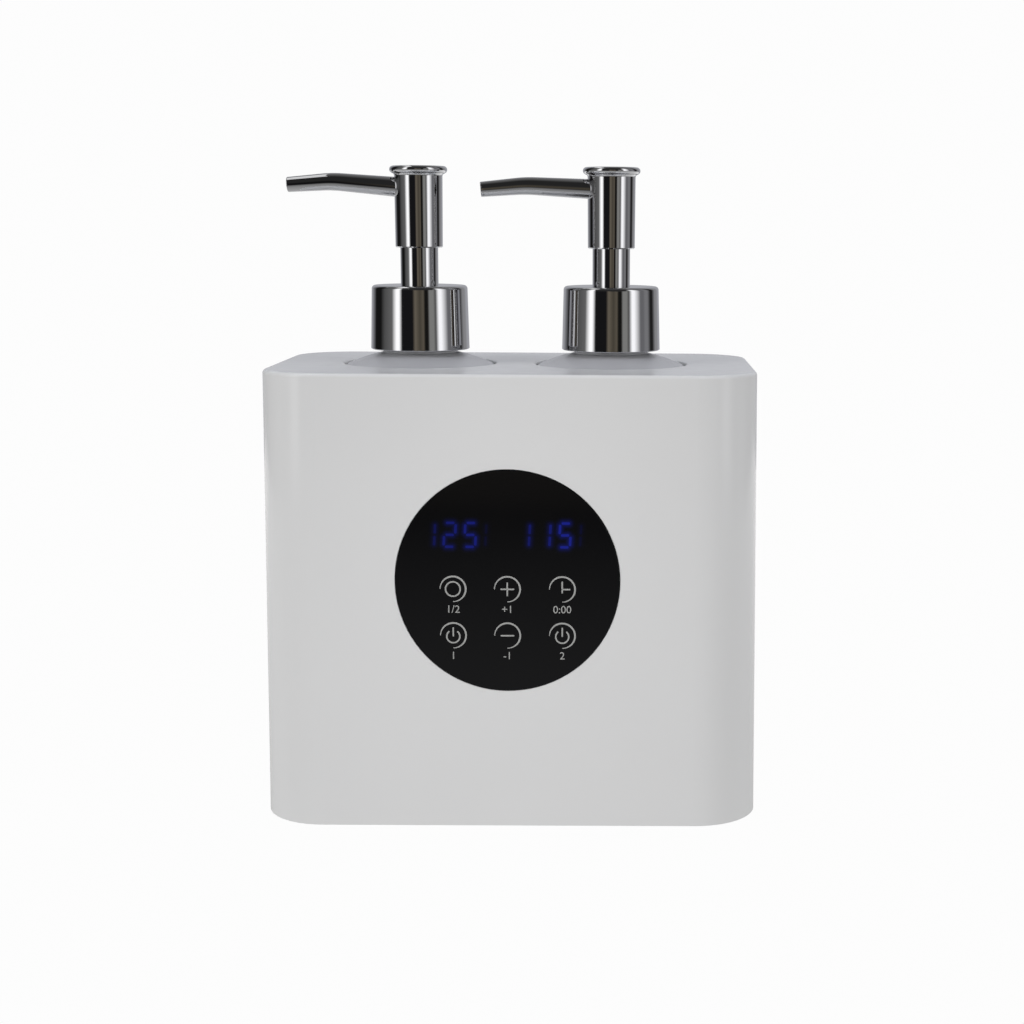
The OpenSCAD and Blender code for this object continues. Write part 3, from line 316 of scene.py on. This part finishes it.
LENS_BLACK = (0.004, 0.004, 0.0045)
LENS_ROUGH = 0.09
LENS_HAZE = (8, 0.07, 0.11)
LENS_SHINE = 0.25
PAINTS = {
    "housing_plastic": surface("housing_plastic", (0.79, 0.79, 0.79), 0.15, mottle=(30, 0.012),
                               grain=(0.35, 0.002), haze=(6, 0.13, 0.17)),
    "base_plastic": surface("base_plastic", (0.74, 0.74, 0.75), 0.5, mottle=(20, 0.015),
                            grain=(0.5, 0.010)),
    "foot_rubber": surface("foot_rubber", (0.035, 0.035, 0.036), 0.75, mottle=(3, 0.2),
                           grain=(0.4, 0.02)),
    "screw_steel": surface("screw_steel", (0.56, 0.57, 0.58), 0.3, 1.0, haze=(0.6, 0.22, 0.40)),
    "inner_black_plastic": surface("inner_black_plastic", (0.018, 0.018, 0.02), 0.45, mottle=(5, 0.15),
                                   grain=(0.3, 0.006)),
    "well_aluminium": surface("well_aluminium", (0.74, 0.75, 0.77), 0.32, 1.0, haze=(1.5, 0.26, 0.40),
                              Anisotropic=0.5),
    "heater_silicone": surface("heater_silicone", (0.60, 0.17, 0.03), 0.5, mottle=(4, 0.06),
                               grain=(0.5, 0.02)),
    "insulation_felt": surface("insulation_felt", (0.62, 0.62, 0.60), 0.95, mottle=(1.2, 0.15),
                               grain=(0.5, 0.15), Sheen_Weight=0.3),
    "lead_sleeve": surface("lead_sleeve", (0.48, 0.03, 0.025), 0.45, mottle=(3, 0.05)),
    "panel_lens": surface("panel_lens", LENS_BLACK, LENS_ROUGH, haze=LENS_HAZE,
                          Specular_IOR_Level=LENS_SHINE),
    "panel_adhesive": surface("panel_adhesive", (0.02, 0.02, 0.02), 0.9, grain=(0.3, 0.02)),
    "board_laminate": surface("board_laminate", (0.012, 0.11, 0.035), 0.35, mottle=(2, 0.1)),
    "ribbon_plastic": surface("ribbon_plastic", (0.42, 0.42, 0.43), 0.5, mottle=(1, 0.06)),
    # bottle_plastic: the white bottle painted grey, as painted shade for its shoulder in the shadow
    # under the collar
    "bottle_plastic": surface("bottle_plastic", (0.50, 0.50, 0.52), 0.17, mottle=(18, 0.012),
                              grain=(0.6, 0.002), haze=(5, 0.15, 0.19)),
    "pump_chrome": surface("pump_chrome", (0.70, 0.70, 0.71), 0.05, 1.0, haze=(2, 0.035, 0.065)),
    # nozzle_chrome: the pump chrome painted darker, as painted shade for the dimmer reflections along
    # the nozzles
    "nozzle_chrome": surface("nozzle_chrome", (0.54, 0.54, 0.55), 0.05, 1.0, haze=(2, 0.035, 0.065)),
    "clear_plastic": surface("clear_plastic", (0.80, 0.82, 0.82), 0.35, mottle=(6, 0.02),
                             grain=(0.8, 0.004)),
    "seal_rubber": surface("seal_rubber", (0.03, 0.03, 0.03), 0.55, mottle=(2, 0.2)),
    "spring_steel": surface("spring_steel", (0.60, 0.61, 0.62), 0.22, 1.0, haze=(0.5, 0.16, 0.30)),
}
for part in frame["record"]["subparts"]:
    nodes[part["node"]].material_slots[0].material = PAINTS[part["material_slot"]]


# Mesh helpers
SMOOTH_ANGLE = math.radians(35)


def new_piece(name, points, faces, paint, body, slot):
    """Mesh object from points in mm, with its normals outwards, riding on a body."""
    mesh = bpy.data.meshes.new(name)
    mesh.from_pydata([Vector(p) * MM for p in points], [], faces)
    work = bmesh.new()
    work.from_mesh(mesh)
    bmesh.ops.recalc_face_normals(work, faces=work.faces)
    work.to_mesh(mesh)
    work.free()
    mesh.polygons.foreach_set("use_smooth", [True] * len(mesh.polygons))
    mesh.set_sharp_from_angle(angle=SMOOTH_ANGLE)
    mesh.materials.append(paint)
    piece = bpy.data.objects.new(name, mesh)
    bpy.context.collection.objects.link(piece)
    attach(piece, body)
    return piece


def rings_to_mesh(rings, looped=False):
    """Points and faces of a tube through equal rings, capped, or joined end to end if looped."""
    points = [p for ring in rings for p in ring]
    count = len(rings[0])
    faces = []
    for i in range(len(rings) if looped else len(rings) - 1):
        low, high = i * count, (i + 1) % len(rings) * count
        for k in range(count):
            n = (k + 1) % count
            faces.append((low + k, low + n, high + n, high + k))
    if not looped:
        faces.append(tuple(range(count)))
        faces.append(tuple(range(len(points) - count, len(points))))
    return points, faces


# Nozzles: a bored, tapered tube with a spigot in the head and a soft bend, in mm from the
# pump's axis
NOZZLE_SPIGOT = Vector((-4.03, 0, 207.87))
NOZZLE_ROOT = Vector((-7.25, 0, 208.08))
NOZZLE_KNEE = Vector((-28.8, 0, 209.514))
NOZZLE_TIP = Vector((-43.8, 0, 208.214))
NOZZLE_RADII = (3.3, 2.9, 2.5)
NOZZLE_TURN = {"left": 0, "right": 5}
# Rise of each nozzle's root, knee and tip, which differs a little from pump to pump
NOZZLE_RISE = {"left": (0.0, 0.25, 0.4), "right": (-0.25, -0.75, -0.8)}
NOZZLE_BEND = 3.2
NOZZLE_SIDES = 64
SPIGOT_RADIUS = 2.6
MOUTH_BORE = 1.6
MOUTH_EDGE = 0.25


def nozzle_line(side):
    """Centres and outer radii from root to tip, with the knee rounded off."""
    places = zip((NOZZLE_ROOT, NOZZLE_KNEE, NOZZLE_TIP), NOZZLE_RISE[side])
    root, knee, tip = (place + Vector((0, 0, rise)) for place, rise in places)
    into = (knee - root).normalized()
    onto = (tip - knee).normalized()
    start, end = knee - into * NOZZLE_BEND, knee + onto * NOZZLE_BEND
    steps = 10
    line = [root.lerp(start, i / steps) for i in range(steps)]
    for i in range(steps + 1):
        t = i / steps
        line.append((1 - t) ** 2 * start + 2 * t * (1 - t) * knee + t ** 2 * end)
    line += [end.lerp(tip, i / steps) for i in range(1, steps + 1)]
    spans = list(zip((root.x, knee.x, tip.x), NOZZLE_RADII))
    radii = []
    for p in line:
        (x1, r1), (x2, r2) = spans[:2] if p.x > knee.x else spans[1:]
        radii.append(r1 + (r2 - r1) * (p.x - x1) / (x2 - x1))
    return line, radii


def make_nozzle(side):
    line, radii = nozzle_line(side)
    ahead, behind = line[1:] + line[-1:], line[:1] + line[:-1]
    steps = [(after - before).normalized() for after, before in zip(ahead, behind)]
    inside = [(p, MOUTH_BORE, step) for p, step in zip(line[-2::-1], steps[-2::-1])]
    outside = list(zip(line, radii, steps))
    tip, r, along = outside.pop()
    edge = []
    quarter = 4
    for i in range(quarter + 1):
        a = math.pi / 2 * i / quarter
        back, inward = MOUTH_EDGE * (1 - math.sin(a)), MOUTH_EDGE * (1 - math.cos(a))
        edge.append((tip - along * back, r - inward, along))
    edge.append((tip, MOUTH_BORE + MOUTH_EDGE, along))
    edge.append((tip - along * MOUTH_EDGE, MOUTH_BORE, along))
    spigot = [(NOZZLE_SPIGOT, SPIGOT_RADIUS, steps[0]), (line[0], SPIGOT_RADIUS, steps[0])]
    path = spigot + outside + edge + inside + [(NOZZLE_SPIGOT, MOUTH_BORE, steps[0])]
    turn = Matrix.Rotation(math.radians(NOZZLE_TURN[side]), 3, "Z")
    offset = Vector((SIDES[side] * PUMP_X, 0, 0))
    across = Vector((0, 1, 0))
    rings = []
    for p, radius, step in path:
        up = step.cross(across)
        angles = [2 * math.pi * k / NOZZLE_SIDES for k in range(NOZZLE_SIDES)]
        spokes = [math.cos(a) * across + math.sin(a) * up for a in angles]
        rings.append([offset + turn @ (p + radius * spoke) for spoke in spokes])
    piece = new_piece(f"{side}_nozzle_tube", *rings_to_mesh(rings, looped=True),
                      PAINTS["nozzle_chrome"], f"{side}_head", "pump_chrome")
    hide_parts(f"{side}_nozzle")


# Screw thread on each bottle's neck
THREAD_RADIUS = 12.45
THREAD_RISE = 1.1
THREAD_PITCH = 4.2
THREAD_TURNS = 1.6
THREAD_LOW = 158.6
THREAD_FOOT = 2.2
THREAD_CREST = 1.0
# The thread rises from its least share over this share of its length at each end
THREAD_LEAST = 0.05
THREAD_RUNOUT = 1 / 12


def make_thread(side):
    x = SIDES[side] * PUMP_X
    steps = 120
    rings = []
    for i in range(steps + 1):
        t = i / steps
        a = 2 * math.pi * THREAD_TURNS * t
        z = THREAD_LOW + THREAD_PITCH * THREAD_TURNS * t
        fade = max(THREAD_LEAST, min(1, t / THREAD_RUNOUT, (1 - t) / THREAD_RUNOUT))
        crest = THREAD_RADIUS + THREAD_RISE * fade
        section = (
            (THREAD_RADIUS, -THREAD_FOOT / 2), (crest, -THREAD_CREST / 2),
            (crest, THREAD_CREST / 2), (THREAD_RADIUS, THREAD_FOOT / 2),
        )
        rings.append([(x + r * math.cos(a), r * math.sin(a), z + dz) for r, dz in section])
    new_piece(f"{side}_neck_thread", *rings_to_mesh(rings), PAINTS["bottle_plastic"],
              f"{side}_bottle", "bottle_plastic")


# Return springs: a wound coil of wire filling each spring's box, riding on its pump
SPRING_WIRE = 0.8
SPRING_TURNS = 5
SPRING_SIDES = 8
SPRING_STEPS_PER_TURN = 24


def make_spring(side):
    low, high = (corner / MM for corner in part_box(f"{side}_return_spring"))
    wire = SPRING_WIRE / 2
    radius = (high.x - low.x) / 2 - wire
    climb = high.z - low.z - SPRING_WIRE
    slope = climb / (2 * math.pi * SPRING_TURNS * radius)
    steps = SPRING_TURNS * SPRING_STEPS_PER_TURN
    rings = []
    for i in range(steps + 1):
        turn = 2 * math.pi * SPRING_TURNS * i / steps
        outward = Vector((math.cos(turn), math.sin(turn), 0))
        along = Vector((-outward.y, outward.x, slope)).normalized()
        upward = outward.cross(along)
        axis_point = Vector((SIDES[side] * PUMP_X, 0, low.z + wire + climb * i / steps))
        centre = axis_point + outward * radius
        angles = (2 * math.pi * k / SPRING_SIDES for k in range(SPRING_SIDES))
        rings.append([centre + wire * (math.cos(a) * outward + math.sin(a) * upward) for a in angles])
    piece = new_piece(f"{side}_spring_coil", *rings_to_mesh(rings), PAINTS["spring_steel"],
                      f"{side}_pump", "spring_steel")
    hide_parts(f"{side}_return_spring")
    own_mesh(piece)


# Front panel: frame of the lens face in mm, x to the right and y up the wall
PANEL_Z = 83.4
WALL_LEAN = math.radians(0.5)
LENS_PROUD = 0.2
WALL_FOOT_Y, WALL_FOOT_Z = -48.5, 2
FRONT_Y = WALL_FOOT_Y + (PANEL_Z - WALL_FOOT_Z) * math.tan(WALL_LEAN)
PRINT_SINK = 0.02
PRINT_PROUD = 0.015
# Least width of a stroke, and the share of an arc over which each end thins out
PRINT_LEAST = 0.04
ARC_FADE = 0.25
ARC_STEPS = 48
RING_STEPS = 64


def on_panel(x, y, out=0.0):
    """Point on the lens, out being the height above its face."""
    up = Vector((0, math.sin(WALL_LEAN), math.cos(WALL_LEAN)))
    ahead = Vector((0, -math.cos(WALL_LEAN), math.sin(WALL_LEAN)))
    return Vector((x, FRONT_Y, PANEL_Z)) + up * y + ahead * (LENS_PROUD + out)


def band(path, widths, closed=False):
    """Thin solid that follows a path on the lens with a width at each point."""
    count = len(path)
    points = []
    for i in range(count):
        before = path[i - 1] if closed or i else path[0]
        after = path[(i + 1) % count] if closed or i < count - 1 else path[-1]
        dx, dy = after[0] - before[0], after[1] - before[1]
        length = math.hypot(dx, dy)
        nx, ny = -dy / length * widths[i] / 2, dx / length * widths[i] / 2
        x, y = path[i]
        for out in (PRINT_PROUD, -PRINT_SINK):
            points += [on_panel(x + nx, y + ny, out), on_panel(x - nx, y - ny, out)]
    faces = []
    for i in range(count if closed else count - 1):
        a, b = 4 * i, 4 * ((i + 1) % count)
        for k, n in ((0, 1), (1, 3), (3, 2), (2, 0)):
            faces.append((a + k, a + n, b + n, b + k))
    if not closed:
        faces.append((0, 1, 3, 2))
        faces.append((4 * count - 4, 4 * count - 3, 4 * count - 1, 4 * count - 2))
    return points, faces


def arc(centre, radius, start, end, width, thin=1.0):
    """Arc from one bearing to another (degrees, anticlockwise), its ends a share as wide."""
    path, widths = [], []
    for i in range(ARC_STEPS + 1):
        t = i / ARC_STEPS
        a = math.radians(start + (end - start) * t)
        path.append((centre[0] + radius * math.cos(a), centre[1] + radius * math.sin(a)))
        fade = min(1, min(t, 1 - t) / ARC_FADE)
        widths.append(width * (thin + (1 - thin) * fade))
    return band(path, widths)


def ring(centre, radius, width):
    path = []
    for i in range(RING_STEPS):
        a = 2 * math.pi * i / RING_STEPS
        path.append((centre[0] + radius * math.cos(a), centre[1] + radius * math.sin(a)))
    return band(path, [width] * RING_STEPS, closed=True)


def bar(a, b, width):
    """Straight stroke with round ends."""
    a, b = Vector(a), Vector(b)
    reach = (b - a).normalized() * width / 2
    quarter = 4
    path, widths = [], []
    for end, first in ((a, -quarter), (b, 0)):
        for i in range(first, first + quarter + 1):
            angle = math.pi / 2 * i / quarter
            path.append(tuple(end + reach * math.sin(angle)))
            widths.append(max(PRINT_LEAST, width * math.cos(angle)))
    return band(path, widths)


def merged(solids):
    points, faces = [], []
    for more_points, more_faces in solids:
        shift = len(points)
        points += more_points
        faces += [tuple(i + shift for i in face) for face in more_faces]
    return points, faces


PRINT = surface("panel_print", (0.40, 0.40, 0.39), 0.25, mottle=(1.5, 0.04))
COLUMNS = (-17.5, -0.1, 17.5)
ROWS = (-2.6, -17.8)
RING_R = 4.1
RING_STROKE = 0.55
RING_END = 0.45
INNER_R = 2.35
STROKE = 0.48
ARM = 2.0
# Hands of the clock sign, and the short stroke below its middle
HAND = 2.4
HAND_TAIL = 1.0
# Power sign: radius, drop and half opening (degrees) of its ring, and the span of its stroke
POWER_R = 2.1
POWER_DROP = 0.3
POWER_GAP = 38
POWER_STROKE = (0.2, 2.8)


def open_ring(centre):
    """Three quarters of a ring, its lower left quarter missing."""
    return arc(centre, RING_R, -90, 180, RING_STROKE, thin=RING_END)


def power_sign(centre):
    x, y = centre[0], centre[1] - POWER_DROP
    low, high = POWER_STROKE
    return [
        arc((x, y), POWER_R, 90 + POWER_GAP, 450 - POWER_GAP, STROKE),
        bar((x, y + low), (x, y + high), STROKE),
    ]


def cross(centre, ends):
    """Strokes from near a centre out to each of the given ends."""
    x, y = centre
    near = STROKE / 2
    strokes = []
    for dx, dy in ends:
        length = math.hypot(dx, dy)
        strokes.append(bar((x + dx / length * near, y + dy / length * near), (x + dx, y + dy), STROKE))
    return strokes


def make_keys():
    top = [(x, ROWS[0]) for x in COLUMNS]
    low = [(x, ROWS[1]) for x in COLUMNS]
    symbols = {
        "key_mode": (top[0], [ring(top[0], INNER_R, STROKE)]),
        "key_up": (top[1], cross(top[1], ((-ARM, 0), (ARM, 0), (0, ARM), (0, -ARM)))),
        "key_timer": (top[2], cross(top[2], ((0, HAND), (HAND, 0), (0, -HAND_TAIL)))),
        "key_left_power": (low[0], power_sign(low[0])),
        "key_down": (low[1], [bar((COLUMNS[1] - ARM, ROWS[1]), (COLUMNS[1] + ARM, ROWS[1]), STROKE)]),
        "key_right_power": (low[2], power_sign(low[2])),
    }
    for name, (centre, strokes) in symbols.items():
        solids = strokes + [open_ring(centre)]
        new_piece(f"{name}_print", *merged(solids), PRINT, "warmer", "panel_lens")


# Plain numbers under the keys
LABELS = (("1/2", "+1", "0:00"), ("1", "-1", "2"))
LABEL_DROP = 6.7
LABEL_SIZE = 3.5
LABEL_DEPTH = 0.5
LABEL_RESOLUTION = 4


def label_mesh(word):
    """Mesh of a word set flat round its middle, with faces above and below z = 0."""
    curve = bpy.data.curves.new("label", "FONT")
    curve.body = word
    curve.size = LABEL_SIZE
    curve.align_x, curve.align_y = "CENTER", "CENTER"
    curve.extrude = LABEL_DEPTH
    curve.resolution_u = LABEL_RESOLUTION
    holder = bpy.data.objects.new("label", curve)
    bpy.context.collection.objects.link(holder)
    bpy.context.view_layer.update()
    seen = holder.evaluated_get(bpy.context.evaluated_depsgraph_get())
    mesh = bpy.data.meshes.new_from_object(seen)
    bpy.data.objects.remove(holder)
    return mesh


def make_labels():
    for j, (row, words) in enumerate(zip(ROWS, LABELS), 1):
        for i, (x, word) in enumerate(zip(COLUMNS, words), 1):
            flat = label_mesh(word)
            points = []
            for v in flat.vertices:
                out = PRINT_PROUD if v.co.z > 0 else -PRINT_SINK
                points.append(on_panel(x + v.co.x, row - LABEL_DROP + v.co.y, out))
            faces = [tuple(p.vertices) for p in flat.polygons]
            new_piece(f"number_{j}_{i}", points, faces, PRINT, "warmer", "panel_lens")


# Readouts: slanted seven-segment digits behind the lens, each with its glow
SEGMENTS = {
    "a": ((0, 1), (1, 1)), "b": ((1, 1), (1, 0)), "c": ((1, 0), (1, -1)), "d": ((0, -1), (1, -1)),
    "e": ((0, 0), (0, -1)), "f": ((0, 1), (0, 0)), "g": ((0, 0), (1, 0)),
}
LIT = {"1": "bc", "2": "abged", "5": "afgcd"}
DIGIT_W, DIGIT_H, DIGIT_SLANT = 3.5, 7.7, 0.06
DIGIT_PITCH = 6.55
SEGMENT_GAP = 0.8
SEGMENT_STROKE = 0.8
READOUT_Y = 15.0
# Middle of each readout, then its figures with place and brightness, the last a dim stroke after them
READOUTS = {
    "left": (-18.35, (("1", -1, 0.30), ("2", 0, 0.62), ("5", 1, 0.72), ("1", 1.49, 0.07))),
    "right": (11.85, (("1", -1, 0.48), ("1", 0, 0.60), ("5", 1, 1.0), ("1", 1.49, 0.08))),
}
LED_BLUE = (0.006, 0.011, 0.20)
LED_DARK = (0.004, 0.004, 0.006)
GLOW_SIZE = (20.7, 11.7)
GLOW_SHIFT = 3.2
GLOW_STEP = 0.3
GLOW_REACH = 1.0
GLOW_SHARE = 0.42
GLOW_PROUD = 0.004


def digit_lines(figure, x, y):
    """Centre lines of a figure's lit segments."""
    lines = []
    for key in LIT[figure]:
        a, b = (Vector(((u - 0.5) * DIGIT_W, v * DIGIT_H / 2)) for u, v in SEGMENTS[key])
        along = (b - a).normalized() * SEGMENT_GAP
        lines.append([Vector((x + p.x + DIGIT_SLANT * p.y, y + p.y)) for p in (a + along, b - along)])
    return lines


def distance_to_line(point, a, b):
    along = b - a
    share = max(0, min(1, (point - a).dot(along) / along.length_squared))
    return (point - a - along * share).length


def make_glow(side, centre, strokes):
    """Thin plate on the lens whose light falls off round the lit strokes."""
    columns, rows = (round(span / GLOW_STEP) + 1 for span in GLOW_SIZE)
    points, glow = [], []
    for j in range(rows):
        for i in range(columns):
            x = centre + GLOW_SHIFT + (i - (columns - 1) / 2) * GLOW_STEP
            y = READOUT_Y + (j - (rows - 1) / 2) * GLOW_STEP
            points.append(on_panel(x, y, GLOW_PROUD))
            near = 0
            for a, b, level in strokes:
                away = distance_to_line(Vector((x, y)), a, b) / GLOW_REACH
                near = max(near, level * math.exp(-away ** 2))
            glow.append(near * GLOW_SHARE)
    faces = []
    for j in range(rows - 1):
        for i in range(columns - 1):
            k = j * columns + i
            faces.append((k, k + 1, k + columns + 1, k + columns))
    border = list(range(columns)) + [j * columns + columns - 1 for j in range(1, rows)]
    border += [(rows - 1) * columns + i for i in range(columns - 2, -1, -1)]
    border += [j * columns for j in range(rows - 2, 0, -1)]
    first = len(points)
    sunk = on_panel(0, 0, -PRINT_SINK) - on_panel(0, 0, GLOW_PROUD)
    points += [points[k] + sunk for k in border]
    glow += [0] * len(border)
    for n in range(len(border)):
        m = (n + 1) % len(border)
        faces.append((border[n], border[m], first + m, first + n))
    faces.append(tuple(range(first, first + len(border))))
    paint = surface(f"{side}_glow", LENS_BLACK, LENS_ROUGH, haze=LENS_HAZE,
                    Specular_IOR_Level=LENS_SHINE, Emission_Strength=1.0)
    shade = paint.node_tree.nodes.new("ShaderNodeAttribute")
    shade.attribute_name = "glow"
    shader = paint.node_tree.nodes["Principled BSDF"]
    paint.node_tree.links.new(shade.outputs["Color"], shader.inputs["Emission Color"])
    piece = new_piece(f"{side}_readout_glow", points, faces, paint, "warmer", "panel_lens")
    layer = piece.data.color_attributes.new("glow", "FLOAT_COLOR", "POINT")
    for k, level in enumerate(glow):
        layer.data[k].color = [c * level for c in LED_BLUE] + [1]


def make_readout(side):
    centre, figures = READOUTS[side]
    strokes = []
    for i, (figure, place, level) in enumerate(figures):
        lines = digit_lines(figure, centre + place * DIGIT_PITCH, READOUT_Y)
        strokes += [(a, b, level) for a, b in lines]
        paint = surface(f"{side}_led_{i + 1}", LED_DARK, LENS_ROUGH, haze=LENS_HAZE,
                        Specular_IOR_Level=LENS_SHINE, Emission_Color=(*LED_BLUE, 1),
                        Emission_Strength=level)
        solids = [bar(a, b, SEGMENT_STROKE) for a, b in lines]
        new_piece(f"{side}_digit_{i + 1}", *merged(solids), paint, "warmer", "panel_lens")
    make_glow(side, centre, strokes)


# Bright centre pin of the power inlet, with its nose's length and the share of its radius left there
PIN_RADIUS = 1.07
PIN_Z = 15.7
PIN_SPAN = (39.3, 47.15)
PIN_NOSE = 0.5
PIN_TIP = 0.45


def make_inlet_pin():
    sides, steps = 24, 4
    profile = [(y, PIN_RADIUS) for y in PIN_SPAN]
    for i in range(1, steps):
        a = math.pi / 2 * i / steps
        share = PIN_TIP + (1 - PIN_TIP) * math.cos(a)
        profile.append((PIN_SPAN[1] + PIN_NOSE * math.sin(a), PIN_RADIUS * share))
    turns = [2 * math.pi * k / sides for k in range(sides)]
    rings = [[(r * math.cos(a), y, PIN_Z + r * math.sin(a)) for a in turns] for y, r in profile]
    new_piece("inlet_pin", *rings_to_mesh(rings), PAINTS["screw_steel"], "warmer", "screw_steel")


make_camera()
make_world()
make_table()
make_lamps()
for side in SIDES:
    make_nozzle(side)
    make_thread(side)
    make_spring(side)
    make_readout(side)
make_keys()
make_labels()
make_inlet_pin()
bpy.context.scene.view_settings.view_transform = "Standard"
